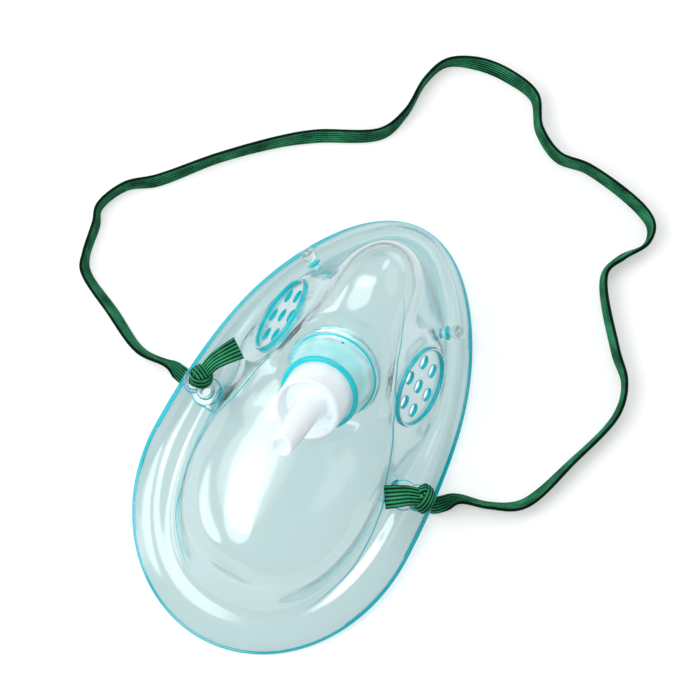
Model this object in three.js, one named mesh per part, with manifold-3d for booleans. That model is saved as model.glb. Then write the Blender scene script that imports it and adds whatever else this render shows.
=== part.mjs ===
// Adult oxygen face mask, lying face side down, in millimetres.
// +Y points to the nose end, +X across the face, +Z up and away from the face, and the table is z = 0.
import * as THREE from 'three'
import { mergeVertices } from 'three/addons/utils/BufferGeometryUtils.js'
import Module from 'manifold-3d'

const wasm = await Module()
wasm.setup()

// Walls and clearances
const wall = 1.3
const runningGap = 0.3

// Each ring is a closed egg round the mask, two half ellipses that meet where it is widest.
// "fullness" below 1 squares the chin end, and "cheek" widens or narrows it beside the nose.
const rim = {
  halfWidth: 42, widestY: -21, noseY: 69.4, chinY: -69.4, fullness: 1,
  cheek: 0.03, cheekAt: 0.6, noseZ: 0.9, sideZ: 4.2, chinZ: 0.9,
}
const brow = {
  halfWidth: 35.4, widestY: -19, noseY: 67, chinY: -63, fullness: 0.92,
  cheek: 0.07, cheekAt: 0.55, noseZ: 4.6, sideZ: 9.6, chinZ: 5.6,
}
const valley = {
  halfWidth: 30.6, widestY: -16, noseY: 64.4, chinY: -58, fullness: 0.82,
  cheek: 0.13, cheekAt: 0.55, noseZ: 6.2, sideZ: 9.4, chinZ: 6.6,
}
const wallFoot = {
  halfWidth: 28.6, widestY: -16, noseY: 62.4, chinY: -55.4, fullness: 0.8,
  cheek: 0.18, cheekAt: 0.55, noseZ: 10, sideZ: 11.4, chinZ: 9.2,
}
const shoulder = {
  halfWidth: 26.8, widestY: -21, noseY: 52.5, chinY: -51, fullness: 0.82,
  cheek: -0.3, cheekAt: 0.67, noseZ: 47, sideZ: 17, chinZ: 16,
}
const cheekSpread = 0.3

// The dome closes over a crest that runs from the nose ridge down to the chin bulb.
const crest = {
  halfWidth: 1, noseY: 42, chinY: -36, noseZ: 55, chinZ: 30, slopeFromY: -4, slopeToY: 40,
}
const crownShares = [
  { inward: 0.2, upward: 0.5 }, { inward: 0.48, upward: 0.83 }, { inward: 0.78, upward: 0.97 },
  { inward: 1, upward: 1 },
]
const columns = 56
const stepsPerSpan = [2, 2, 1, 4, 2, 2, 2, 2]

// Collar that holds the tubing connector
const collar = {
  seatY: 13.6, seatZ: 37, tiltDeg: 38, skirtRadius: 13.4, skirtHeight: 2.8,
  baseRadius: 12.5, rimRadius: 11.2, height: 15.2, bore: 9.9, filletReach: 2,
}

// Round vents, one on each cheek
const vent = {
  centreX: 22.4, centreY: 23, centreZ: 22.7, upDeg: 24, noseDeg: 2, radius: 12.2,
  flatMargin: 0.6, lipWidth: 1.1, lipHeight: 1.1, holeRadius: 2.1, holeCircle: 7.4, ringHoles: 6,
}

// Pegs for a nose clip, and the lugs that the strap is tied through
const peg = {
  turnDeg: 41.8, level: 3.18, stem: 1.2, collarRadius: 2.1, collarFrom: 1.9, collarTo: 2.7,
  head: 2.15, headFrom: 3.6, length: 7.4,
}
const lug = {
  x: 36.8, y: -4.2, z: 9.3, leanDeg: 9, slantDeg: 18, rise: 1.5, depth: 4.6,
  outerRadius: 4, middleRadius: 4.5, innerRadius: 3.6, middleOffset: 4.6, innerOffset: 8.4,
  eyelet: 2, spareEyelet: 1.6, lip: 1, lipHeight: 0.5,
}

// Tubing connector, turned about the collar's axis; heights are from the collar's rim
const connector = {
  skirtLength: 11, skirtWall: 1.4, frontRadius: 9.2, frontHeight: 10.6, cupDepth: 4.6, floor: 1.5,
  nippleRoot: 4.4, nippleRadius: 3.5, nippleTip: 3, nippleLength: 22.7, barbRadius: 3.6,
  barbFrom: 7.4, bore: 2.1,
}

// Flat elastic strap, tied to both lugs
const strap = { width: 6.6, thickness: 1.2, neckRadius: 1.6, neckDrop: 3.2, steps: 80 }
const knot = {
  halfHeight: 3.2, slantDeg: 28, cordWidth: 1.1, ridge: 0.08, depth: 0.3, coreShare: 0.9,
}

// Strap route: x, y, how far the band leans outwards from upright, and the share of its width
// that is left where it is squeezed. It stands on the table, but starts and ends under the lugs.
const strapRoute = [
  [-41.2, -3.7, 88, 0.75], [-43.8, -3.3, 70, 0.8], [-47.6, -2.9, 22, 1], [-56.6, -3.2, 20, 1],
  [-69.8, 3.3, 25, 1], [-82.9, 10.4, 18, 1], [-85.1, 14.8, 7, 1], [-87, 24.5, 8, 1],
  [-88.7, 29.3, 3, 1], [-84.9, 38.5, 5, 1], [-77.2, 44.7, 14, 1], [-64.1, 59.6, 7, 1],
  [-49.4, 73.3, 12, 1], [-41.3, 79.2, 18, 1], [-24.2, 89.3, 13, 1], [-20.8, 98.4, 2, 1],
  [-20.3, 110, 0, 1], [-17.2, 117.8, 2, 1], [-8.6, 122.1, 16, 1], [1.5, 123, 19, 1],
  [11.4, 120.8, 13, 1], [17.2, 112.6, 10, 1], [26, 107.6, 12, 1], [36, 108.5, 10, 1],
  [55.8, 104.6, 14, 1], [60.8, 101.2, 10, 1], [61.7, 96, 6, 1], [57, 88.8, 16, 1],
  [54.8, 82, 8, 1], [68.1, 62.8, 10, 1], [74.9, 55.4, 4, 1], [77.1, 46, 8, 1],
  [71.8, 27.2, 12, 1], [64.6, 9.1, 24, 1], [56, 4.2, 18, 1], [47.5, 1.8, 26, 1],
  [43.8, -1.4, 70, 0.8], [41.4, -3.2, 88, 0.75],
]
const strapEndShare = 0.62

// The mask has a soft clear shell, a rigid milky connector and a green elastic strap.
const clearVinyl = new THREE.MeshStandardMaterial({ color: 0xc2e4e8, roughness: 0.12, metalness: 0 })
const milkyPlastic = new THREE.MeshStandardMaterial({ color: 0xeef5fa, roughness: 0.3, metalness: 0 })
const greenElastic = new THREE.MeshStandardMaterial({ color: 0x22694a, roughness: 0.85, metalness: 0 })

const radians = THREE.MathUtils.degToRad
const mix = THREE.MathUtils.lerp
const smooth = THREE.MathUtils.smoothstep
const fade = (distance, full, none) => 1 - smooth(distance, full, none)

// Solids: a closed geometry becomes a manifold, and the finished one a named mesh
function solid(geometry) {
  const bare = geometry.clone()
  bare.deleteAttribute('normal')
  bare.deleteAttribute('uv')
  const merged = mergeVertices(bare, 1e-4)
  return new wasm.Manifold(new wasm.Mesh({
    numProp: 3,
    vertProperties: new Float32Array(merged.attributes.position.array),
    triVerts: new Uint32Array(merged.index.array),
  }))
}

function meshOf(name, body, material) {
  const { vertProperties, triVerts } = body.getMesh()
  const geometry = new THREE.BufferGeometry()
  geometry.setAttribute('position', new THREE.BufferAttribute(vertProperties, 3))
  geometry.setIndex(new THREE.BufferAttribute(triVerts, 1))
  const faceted = geometry.toNonIndexed()
  faceted.computeVertexNormals()
  const mesh = new THREE.Mesh(faceted, material.clone())
  mesh.name = name
  return mesh
}

const joined = (bodies) => bodies.reduce((whole, body) => whole.add(body))

// A closed skin through rings of equal length, with each end closed by rungs from side to side.
// Each four-sided patch is split along its shorter diagonal, so that creases stay clean.
function loft(rings) {
  const count = rings[0].length
  const points = rings.flat()
  const positions = points.flatMap((point) => point.toArray())
  const index = []
  for (let ring = 0; ring < rings.length - 1; ring++) {
    for (let i = 0; i < count; i++) {
      const [a, b] = [ring * count + i, ring * count + (i + 1) % count]
      const [c, d] = [a + count, b + count]
      const alongB = points[b].distanceTo(points[c]) < points[a].distanceTo(points[d])
      index.push(...(alongB ? [a, c, b, b, c, d] : [a, c, d, a, d, b]))
    }
  }
  const zipper = (start, flip) => {
    for (let i = 0; i < count / 2; i++) {
      const [a, b] = [start + i, start + i + 1]
      const [c, d] = [start + (count - i) % count, start + count - i - 1]
      const faces = [[a, b, d], [a, d, c]].filter((face) => new Set(face).size === 3)
      faces.forEach((face) => index.push(...(flip ? face.reverse() : face)))
    }
  }
  zipper(0, false)
  zipper((rings.length - 1) * count, true)
  const geometry = new THREE.BufferGeometry()
  geometry.setAttribute('position', new THREE.Float32BufferAttribute(positions, 3))
  geometry.setIndex(index)
  return geometry
}

// A flat seat: its place, its outward axis and how far round it the dome is flattened
function seat(x, y, z, axis, radius) {
  return { point: new THREE.Vector3(x, y, z), axis: axis.clone().normalize(), radius }
}
const collarTilt = radians(collar.tiltDeg)
const collarSeat = seat(
  0, collar.seatY, collar.seatZ,
  new THREE.Vector3(0, -Math.sin(collarTilt), Math.cos(collarTilt)),
  collar.skirtRadius + collar.filletReach,
)
const ventSeats = [-1, 1].map((side) => seat(
  side * vent.centreX, vent.centreY, vent.centreZ,
  new THREE.Vector3(
    side * Math.cos(radians(vent.upDeg)) * Math.cos(radians(vent.noseDeg)),
    Math.cos(radians(vent.upDeg)) * Math.sin(radians(vent.noseDeg)),
    Math.sin(radians(vent.upDeg)),
  ),
  vent.radius + vent.flatMargin,
))
const flattened = { fadeWidth: 4.5, fullDepth: 5, noDepth: 11 }

function ringPoint(ring, turn) {
  const along = Math.cos(turn)
  const across = Math.sin(turn)
  const reach = along > 0 ? ring.noseY - ring.widestY : ring.widestY - ring.chinY
  const power = along > 0 ? 1 : mix(1, ring.fullness, smooth(-along, 0, 0.6))
  const cheek = 1 + ring.cheek * Math.exp(-(((along - ring.cheekAt) / cheekSpread) ** 2))
  const endZ = along > 0 ? ring.noseZ : ring.chinZ
  return new THREE.Vector3(
    Math.sign(across) * ring.halfWidth * Math.abs(across) ** power * cheek,
    ring.widestY + reach * along,
    mix(ring.sideZ, endZ, smooth(Math.abs(along), 0, 1)),
  )
}

const crestHeight = (y) => mix(crest.chinZ, crest.noseZ, smooth(y, crest.slopeFromY, crest.slopeToY))

function crownPoint({ inward, upward }, turn) {
  const edge = ringPoint(shoulder, turn)
  const middle = (crest.noseY + crest.chinY) / 2
  const spine = new THREE.Vector3(
    crest.halfWidth * Math.sin(turn),
    middle + (crest.noseY - crest.chinY) / 2 * Math.cos(turn),
    0,
  )
  const y = mix(edge.y, spine.y, inward)
  return new THREE.Vector3(mix(edge.x, spine.x, inward), y, mix(edge.z, crestHeight(y), upward))
}

// The outer face of the mask. "turn" goes round it from the nose, "level" from the rim to the crest.
const sideRings = [rim, brow, valley, wallFoot, shoulder]
const lastLevel = sideRings.length - 1 + crownShares.length
function skin(turn, level) {
  const section = [
    ...sideRings.map((ring) => ringPoint(ring, turn)),
    ...crownShares.map((share) => crownPoint(share, turn)),
  ]
  const point = new THREE.CatmullRomCurve3(section, false, 'centripetal').getPoint(level / lastLevel)
  for (const { point: centre, axis, radius } of [collarSeat, ...ventSeats]) {
    const offset = point.clone().sub(centre)
    const height = offset.dot(axis)
    const beside = offset.addScaledVector(axis, -height).length()
    const share = fade(beside, radius, radius + flattened.fadeWidth)
      * fade(Math.abs(height), flattened.fullDepth, flattened.noDepth)
    point.addScaledVector(axis, -height * share)
  }
  return point
}

function skinNormal(turn, level) {
  const step = 0.01
  const [low, high] = [Math.max(0, level - step), Math.min(lastLevel, level + step)]
  const round = skin(turn + step, level).sub(skin(turn - step, level))
  const up = skin(turn, high).sub(skin(turn, low))
  return round.cross(up).normalize().negate()
}

const turns = Array.from({ length: columns }, (_, i) => 2 * Math.PI * i / columns)
const levels = stepsPerSpan.flatMap((steps, span) => (
  Array.from({ length: steps }, (_, i) => span + i / steps)
)).concat(lastLevel)
const outerRings = levels.map((level) => turns.map((turn) => skin(turn, level)))
const ringsAtDepth = (depth) => levels.map((level, i) => turns.map((turn, j) => (
  outerRings[i][j].clone().addScaledVector(skinNormal(turn, level), -depth)
)))
const innerRings = ringsAtDepth(wall)
const middleRings = ringsAtDepth(wall / 2)

// The rim's edge is a half-round bead between the two faces
const beadRing = turns.map((turn, j) => {
  const outward = skin(turn, 0).sub(skin(turn, 0.05)).normalize()
  return outerRings[0][j].clone().lerp(innerRings[0][j], 0.5).addScaledVector(outward, wall * 0.45)
})

// The whole skin is lifted so that its lowest point lies on the table
const lift = -Math.min(...[beadRing, innerRings[0]].flat().map((point) => point.z))
const up = new THREE.Vector3(0, 0, lift)
const everyRing = [...outerRings, ...innerRings, ...middleRings, beadRing]
everyRing.flat().forEach((point) => point.add(up))
for (const { point } of [collarSeat, ...ventSeats]) point.add(up)

const shellSkin = solid(loft([...[...innerRings].reverse(), beadRing, ...outerRings]))
const insideMiddle = solid(loft(middleRings))

// Places a geometry made along +Z on a point, with +Z turned to an axis and +X kept near "across"
function placed(geometry, point, axis, across = new THREE.Vector3(1, 0, 0)) {
  const z = axis.clone().normalize()
  const x = across.clone().addScaledVector(z, -across.dot(z)).normalize()
  const y = z.clone().cross(x)
  return geometry.clone().applyMatrix4(new THREE.Matrix4().makeBasis(x, y, z).setPosition(point))
}
const outline = (points) => points.map(([radius, height]) => new THREE.Vector2(radius, height))
const turned = (points, sides) => new THREE.LatheGeometry(outline(points), sides).rotateX(Math.PI / 2)
const rod = (radius, from, to, sides) => (
  turned([[0, from], [radius, from], [radius, to], [0, to]], sides)
)

// Collar: a short skirt on the dome, a shoulder line and a tapered sleeve with a rounded rim
const underDome = 9
const collarProfile = [
  [0, -underDome], [collar.skirtRadius + collar.filletReach, -underDome],
  [collar.skirtRadius + collar.filletReach, -0.9], [collar.skirtRadius + 0.8, 0.1],
  [collar.skirtRadius + 0.1, 1.2], [collar.skirtRadius, collar.skirtHeight - 0.5],
  [collar.skirtRadius - 0.4, collar.skirtHeight], [collar.baseRadius, collar.skirtHeight + 0.2],
  [collar.rimRadius, collar.height - 0.5], [collar.rimRadius - 0.4, collar.height],
  [0, collar.height],
]
const collarBody = solid(placed(turned(collarProfile, 44), collarSeat.point, collarSeat.axis))
const collarBore = solid(placed(
  rod(collar.bore, -underDome - wall, collar.height + wall, 44), collarSeat.point, collarSeat.axis,
))

// Vents: a raised lip round a flat disc of holes, one in the middle and the rest on a circle
function ventLip({ point, axis }) {
  const [inner, outer] = [vent.radius - vent.lipWidth, vent.radius]
  const profile = [
    [inner, -0.4 * wall], [outer + 0.2, -0.4 * wall], [outer, vent.lipHeight - 0.3],
    [outer - 0.3, vent.lipHeight], [inner + 0.3, vent.lipHeight], [inner, vent.lipHeight - 0.3],
    [inner, -0.4 * wall],
  ]
  return solid(placed(turned(profile, 36), point, axis))
}

function ventHoles({ point, axis }) {
  const hole = rod(vent.holeRadius, -3 * wall, 3 * wall, 12)
  const places = Array.from({ length: vent.ringHoles }, (_, i) => {
    const angle = 2 * Math.PI * (i + 0.5) / vent.ringHoles
    return [vent.holeCircle * Math.cos(angle), vent.holeCircle * Math.sin(angle)]
  })
  const toNose = new THREE.Vector3(0, 1, 0)
  return [[0, 0], ...places].map(([x, y]) => (
    solid(placed(hole.clone().translate(x, y, 0), point, axis, toNose))
  ))
}

// Pegs stand square to the skin
function skinSeat(side, { turnDeg, level }) {
  const turn = side * radians(turnDeg)
  return { point: skin(turn, level).add(up), axis: skinNormal(turn, level) }
}

function pegBody({ point, axis }) {
  const headMiddle = (peg.headFrom + peg.length) / 2
  const profile = [
    [0, -0.6 * wall], [peg.stem + 0.6, -0.6 * wall], [peg.stem, 0.8],
    [peg.stem, peg.collarFrom], [peg.collarRadius, peg.collarFrom + 0.2],
    [peg.collarRadius, peg.collarTo - 0.2], [peg.stem, peg.collarTo],
    [peg.stem, peg.headFrom], [0.8 * peg.head, peg.headFrom + 0.4], [peg.head, headMiddle - 0.4],
    [peg.head, headMiddle + 0.4], [0.83 * peg.head, peg.length - 0.5],
    [0.5 * peg.head, peg.length], [0, peg.length],
  ]
  return solid(placed(turned(profile, 14), point, axis))
}

// A lug is three round pads in a slanting row towards the dome, two of them with a lipped eyelet.
// It is held in a level frame: the first pad's middle, its upward axis and the row's direction.
const lugPads = [
  { offset: 0, radius: lug.outerRadius, eyelet: lug.eyelet, rise: lug.rise },
  { offset: lug.middleOffset, radius: lug.middleRadius, eyelet: lug.spareEyelet, rise: lug.rise - 0.15 },
  { offset: lug.innerOffset, radius: lug.innerRadius, eyelet: 0, rise: lug.rise - 0.3 },
]

const lugSeats = [-1, 1].map((side) => {
  const [lean, slant] = [radians(lug.leanDeg), radians(lug.slantDeg)]
  return {
    point: new THREE.Vector3(side * lug.x, lug.y, lug.z),
    axis: new THREE.Vector3(side * Math.sin(lean), 0, Math.cos(lean)),
    row: new THREE.Vector3(-side * Math.cos(slant), -Math.sin(slant), 0),
  }
})

function lugBody({ point, axis, row }) {
  return joined(lugPads.map(({ offset, radius, eyelet, rise }) => {
    const pad = [[0, -lug.depth], [radius, -lug.depth], [radius, rise - 0.4], [radius - 0.4, rise]]
    const top = eyelet ? rise + lug.lipHeight : rise
    const lip = eyelet ? [[eyelet + lug.lip, rise], [eyelet + lug.lip - 0.2, top]] : []
    const profile = turned([...pad, ...lip, [0, top]], 20)
    return solid(placed(profile.translate(offset, 0, 0), point, axis, row))
  }))
}

function lugEyelets({ point, axis, row }) {
  return lugPads.filter((pad) => pad.eyelet).map(({ offset, eyelet }) => (
    solid(placed(rod(eyelet, -4 * wall, 3 * lug.rise, 14).translate(offset, 0, 0), point, axis, row))
  ))
}

const pegSeats = [-1, 1].map((side) => skinSeat(side, peg))
const fittings = joined([
  collarBody, ...ventSeats.map(ventLip), ...lugSeats.map(lugBody), ...pegSeats.map(pegBody),
]).subtract(insideMiddle)
const cuts = joined([
  collarBore, ...ventSeats.flatMap(ventHoles), ...lugSeats.flatMap(lugEyelets),
])
const shell = shellSkin.add(fittings).subtract(cuts)

// Tubing connector: a skirt in the collar's bore, a shallow cup and a barbed nipple on its floor
function connectorProfile() {
  const outer = collar.bore - runningGap
  const inner = outer - connector.skirtWall
  const cupFloor = connector.frontHeight - connector.cupDepth
  const tip = connector.frontHeight + connector.nippleLength
  return [
    [inner, -connector.skirtLength], [outer - 0.4, -connector.skirtLength],
    [outer, -connector.skirtLength + 0.6], [outer, 0],
    [connector.frontRadius, connector.frontHeight - 0.4],
    [connector.frontRadius - 0.4, connector.frontHeight],
    [connector.frontRadius - 0.9, connector.frontHeight],
    [connector.frontRadius - 1.3, connector.frontHeight - 0.4],
    [connector.frontRadius - 1.5, cupFloor],
    [connector.nippleRoot + 0.6, cupFloor], [connector.nippleRoot, cupFloor + 0.8],
    [connector.nippleRadius, tip - connector.barbFrom - 0.6],
    [connector.barbRadius, tip - connector.barbFrom],
    [connector.nippleTip + 0.1, tip - 0.3], [connector.nippleTip - 0.2, tip],
    [connector.bore, tip], [connector.bore, cupFloor - connector.floor],
    [inner - 0.2, cupFloor - connector.floor], [inner, -connector.skirtLength],
  ]
}

// Strap: a flat band swept along its route, turned at each station by how far it leans
class LeaningRoute extends THREE.CatmullRomCurve3 {
  constructor(stations) {
    super(stations.map(([x, y, z]) => new THREE.Vector3(x, y, z)), false, 'centripetal')
    this.turns = new THREE.CatmullRomCurve3(
      stations.map(([, , , lean, share], i) => new THREE.Vector3(i, lean, share)), false, 'catmullrom',
    )
  }

  computeFrenetFrames(segments) {
    const frames = { tangents: [], normals: [], binormals: [] }
    for (let i = 0; i <= segments; i++) {
      const at = this.getUtoTmapping(i / segments)
      const tangent = this.getTangent(at)
      const { y: leanDeg, z: share } = this.turns.getPoint(at)
      const level = new THREE.Vector3(-tangent.y, tangent.x, 0).normalize()
      const upright = tangent.clone().cross(level).normalize()
      const normal = upright.multiplyScalar(Math.cos(radians(leanDeg)))
        .addScaledVector(level, Math.sin(radians(leanDeg)))
      frames.tangents.push(tangent)
      frames.binormals.push(tangent.clone().cross(normal))
      frames.normals.push(normal.multiplyScalar(share))
    }
    return frames
  }
}

// How high the middle of the leaning band is when its lower edge touches the table
const tableGap = 0.05
function standing(leanDeg, share) {
  const lean = radians(leanDeg)
  const reach = strap.width * share * Math.cos(lean) + strap.thickness * Math.sin(lean)
  return reach / 2 + tableGap
}

// The band's ends lie just below the knots' necks, under the lugs
const neckEnd = ({ point, axis }) => point.clone().addScaledVector(axis, -strap.neckDrop)
function strapStations() {
  const [start, end] = lugSeats.map((seatOf) => {
    const foot = neckEnd(seatOf)
    return [foot.x, foot.y, foot.z - runningGap - strap.thickness / 2, 90, strapEndShare]
  })
  const middle = strapRoute.map(([x, y, lean, share]) => [x, y, standing(lean, share), lean, share])
  return [start, ...middle, end]
}

function strapSection() {
  const [half, flat, edge] = [strap.width / 2, strap.thickness / 2, 0.35]
  return new THREE.Shape(outline([
    [-half, -flat + edge], [-half + edge, -flat], [half - edge, -flat], [half, -flat + edge],
    [half, flat - edge], [half - edge, flat], [-half + edge, flat], [-half, flat - edge],
  ]))
}

function band(stations, steps) {
  return solid(new THREE.ExtrudeGeometry(strapSection(), {
    steps, curveSegments: 1, bevelEnabled: false, extrudePath: new LeaningRoute(stations),
  }))
}

// Knots: turns of band over an egg, a neck down through the eyelet and a short flat tail. The egg is
// turned about the lug's axis by the slant, and each turn's axle is given in that frame.
const knots = [
  {
    name: 'left_knot', seat: lugSeats[0], shift: [2.4, 1.3], egg: [3, 3.6, knot.halfHeight],
    turnsOfBand: [
      { axle: [0.45, -0.55, 0.7], growth: 0.92, cords: 3 },
      { axle: [0.74, 0.64, -0.2], growth: 1, cords: 4 },
      { axle: [0.1, 0.64, 0.77], growth: 1.08, cords: 3 },
    ],
    tail: [[-35.2, -1.4, 16.6, 96, 0.6], [-34, 2.2, 18, 98, 0.75], [-31.8, 5.8, 18.8, 94, 0.9],
      [-29.3, 9.3, 19.1, 90, 1.05]],
  },
  {
    name: 'right_knot', seat: lugSeats[1], shift: [0.8, 0], egg: [2.95, 3.9, knot.halfHeight],
    turnsOfBand: [
      { axle: [-0.8, 0, 0.6], growth: 0.92, cords: 3 },
      { axle: [0, -0.55, 0.83], growth: 1, cords: 3 },
      { axle: [-0.74, 0.56, 0.36], growth: 1.08, cords: 4 },
    ],
    tail: [[37, -4.6, 17, 90, 0.75], [34, -6, 18.6, 90, 0.9], [31.4, -7.7, 19.1, 90, 1],
      [28.4, -9.6, 19.1, 90, 1.05]],
  },
]

// One turn on a sphere of radius 1, with a ridge for each cord of the band
function turnOfBand({ axle, growth, cords }, along) {
  const reach = cords * knot.cordWidth / 2 / along
  const at = (share, radius) => [radius * Math.cos(share * reach), radius * Math.sin(share * reach)]
  const inside = growth - knot.depth
  const outside = Array.from({ length: 2 * cords + 1 }, (_, i) => (
    at(i / cords - 1, i % 2 ? growth + knot.ridge : growth)
  ))
  const ring = turned([at(-1, inside), ...outside, at(1, inside), at(-1, inside)], 28)
  return placed(ring, new THREE.Vector3(), new THREE.Vector3(...axle))
}

function knotBody({ seat: { point, axis }, shift: [shiftX, shiftY], egg, turnsOfBand, tail }) {
  const base = lug.rise + lug.lipHeight + runningGap
  const outermost = Math.max(...turnsOfBand.map(({ growth }) => growth)) + knot.ridge
  const middle = base + outermost * knot.halfHeight
  const slant = radians(knot.slantDeg)
  const across = new THREE.Vector3(Math.cos(slant), Math.sin(slant), 0)
  const centre = placed(new THREE.BufferGeometry().setFromPoints([
    new THREE.Vector3(shiftX, shiftY, middle),
  ]), point, axis).attributes.position
  const wound = [
    new THREE.SphereGeometry(knot.coreShare, 16, 10),
    ...turnsOfBand.map((turn) => turnOfBand(turn, egg[1])),
  ].map((geometry) => solid(placed(
    geometry.scale(...egg), new THREE.Vector3().fromBufferAttribute(centre, 0), axis, across,
  )))
  const neck = solid(placed(rod(strap.neckRadius, -strap.neckDrop, middle, 12), point, axis))
  return joined([...wound, neck, band(tail, 5)])
}

const mask = new THREE.Group()
mask.add(meshOf('mask_shell', shell, clearVinyl))
mask.add(meshOf('head_strap', band(strapStations(), strap.steps), greenElastic))
for (const tied of knots) mask.add(meshOf(tied.name, knotBody(tied), greenElastic))

// The connector turns on the collar's axis, with its zero height at the collar's rim
const connectorBody = solid(turned(connectorProfile(), 40))
const connectorMesh = meshOf('tubing_connector', connectorBody, milkyPlastic)
const connectorFrame = new THREE.Group()
connectorFrame.position.copy(collarSeat.point).addScaledVector(collarSeat.axis, collar.height)
connectorFrame.rotation.x = collarTilt
connectorFrame.add(connectorMesh)
mask.add(connectorFrame)

export default mask
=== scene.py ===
# %% [markdown]
# # An oxygen face mask, dressed for the camera
#
# The mask lies with its face side down on a pale table, and the camera looks almost straight down on it.
# Three materials make up the whole object: a clear soft moulding, a milky rigid connector and a green elastic
# strap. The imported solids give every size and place, and this script gives each piece its fine surface and
# its finish. All the tables below are in millimetres, as on a drawing, and are turned into metres on the way
# into Blender.

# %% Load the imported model
import math

import bmesh
import bpy
import numpy as np
from mathutils import Matrix, Vector
from mathutils.kdtree import KDTree


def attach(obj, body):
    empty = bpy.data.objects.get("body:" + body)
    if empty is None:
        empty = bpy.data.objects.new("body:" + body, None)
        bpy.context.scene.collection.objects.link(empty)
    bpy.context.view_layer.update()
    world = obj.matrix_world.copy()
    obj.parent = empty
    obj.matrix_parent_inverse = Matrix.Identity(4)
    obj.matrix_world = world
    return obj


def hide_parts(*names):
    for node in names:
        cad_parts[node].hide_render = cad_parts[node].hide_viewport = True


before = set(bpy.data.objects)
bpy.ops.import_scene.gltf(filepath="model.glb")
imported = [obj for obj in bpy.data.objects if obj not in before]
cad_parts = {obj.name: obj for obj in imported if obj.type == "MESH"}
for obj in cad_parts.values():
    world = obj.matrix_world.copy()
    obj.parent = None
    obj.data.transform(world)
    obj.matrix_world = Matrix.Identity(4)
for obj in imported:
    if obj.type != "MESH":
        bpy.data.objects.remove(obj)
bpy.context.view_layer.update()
MM = 0.001

# %% [markdown]
# ## Camera
#
# A long lens far away keeps the mask's outline almost free of perspective, which is how catalogue photos are
# taken. A camera can be aimed with a Track To constraint, but here three directions are worked out: back
# (from the target to the lens), right and up. Written as the columns of a matrix they are the camera's
# rotation, with nothing left to solve.

# %% Place the camera
AZIMUTH, ELEVATION = math.radians(27.87), math.radians(80.35)
TARGET = Vector((-2.0, 26.6, 0.0)) * MM
DISTANCE = 0.716
SEEN_WIDTH = 0.209
SENSOR = 36.0


def linked(name, data):
    """A new object that holds data, linked to the scene."""
    made = bpy.data.objects.new(name, data)
    bpy.context.scene.collection.objects.link(made)
    return made


back = Vector((math.sin(AZIMUTH) * math.cos(ELEVATION),
               -math.cos(AZIMUTH) * math.cos(ELEVATION),
               math.sin(ELEVATION)))
right = Vector((math.cos(AZIMUTH), math.sin(AZIMUTH), 0.0))
up = back.cross(right)
lens = bpy.data.cameras.new("studio_camera")
lens.sensor_width = SENSOR
lens.lens = SENSOR * DISTANCE / SEEN_WIDTH
camera = linked("studio_camera", lens)
turn = Matrix((right, up, back)).transposed().to_4x4()
camera.matrix_world = Matrix.Translation(TARGET + DISTANCE * back) @ turn
bpy.context.scene.camera = camera
print("lens", round(lens.lens, 1), "mm, camera at", [round(v, 3) for v in camera.location])

# %% [markdown]
# ## The strap's route
#
# The strap is one flat elastic band, tied to both lugs. It lies where it fell, so no formula gives its
# course: a short list of stations does, each with its place on the table, the angle that the band leans away
# from upright and the share of its width that is left where it is squeezed together. How high its middle
# stands isn't drawn but worked out, from the rule that the lower edge touches the table.

# %% Stations of the strap
STRAP_WIDTH, STRAP_THICKNESS = 6.6, 1.2
STRAP_STATIONS = [
    (-41.2, -3.7, 88, 0.75), (-43.8, -3.3, 70, 0.8), (-47.6, -2.9, 22, 1), (-56.6, -3.2, 20, 1),
    (-69.8, 3.3, 25, 1), (-82.9, 10.4, 18, 1), (-85.1, 14.8, 7, 1), (-87, 24.5, 8, 1),
    (-88.7, 29.3, 3, 1), (-84.9, 38.5, 5, 1), (-77.2, 44.7, 14, 1), (-64.1, 59.6, 7, 1),
    (-49.4, 73.3, 12, 1), (-41.3, 79.2, 18, 1), (-24.2, 89.3, 13, 1), (-20.8, 98.4, 2, 1),
    (-20.3, 110, 0, 1), (-17.2, 117.8, 2, 1), (-8.6, 122.1, 16, 1), (1.5, 123, 19, 1),
    (11.4, 120.8, 13, 1), (17.2, 112.6, 10, 1), (26, 107.6, 12, 1), (36, 108.5, 10, 1),
    (55.8, 104.6, 14, 1), (60.8, 101.2, 10, 1), (61.7, 96, 6, 1), (57, 88.8, 16, 1),
    (54.8, 82, 8, 1), (68.1, 62.8, 10, 1), (74.9, 55.4, 4, 1), (77.1, 46, 8, 1),
    (71.8, 27.2, 12, 1), (64.6, 9.1, 24, 1), (56, 4.2, 18, 1), (47.5, 1.8, 26, 1),
    (43.8, -1.4, 70, 0.8), (41.4, -3.2, 88, 0.75),
]
END_X, END_Y, END_Z = 36.3, -4.2, 5.24
END_LEAN, END_SHARE = 90, 0.62
TABLE_GAP = 0.05


def standing(lean, share):
    """Height of the band's middle when its lower edge touches the table."""
    lean = math.radians(lean)
    return (STRAP_WIDTH * share * math.cos(lean) + STRAP_THICKNESS * math.sin(lean)) / 2 + TABLE_GAP


stations = [(-END_X, END_Y, END_Z, END_LEAN, END_SHARE),
            *[(x, y, standing(lean, share), lean, share) for x, y, lean, share in STRAP_STATIONS],
            (END_X, END_Y, END_Z, END_LEAN, END_SHARE)]
print(len(stations), "stations on the strap")

# %% [markdown]
# ## A curve through stations
#
# A Catmull-Rom curve goes through every station, which makes it easier to steer than a Bezier curve with
# handles. Its knots may be spaced evenly or by the distance to a power. The square root keeps the curve from
# swinging out at short steps, so the routes use it. The shell's surface is drawn with the same function.

# %% Catmull-Rom curve
CENTRIPETAL, EVEN = 0.5, 0.0
LEAST_GAP = 1e-4


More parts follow.
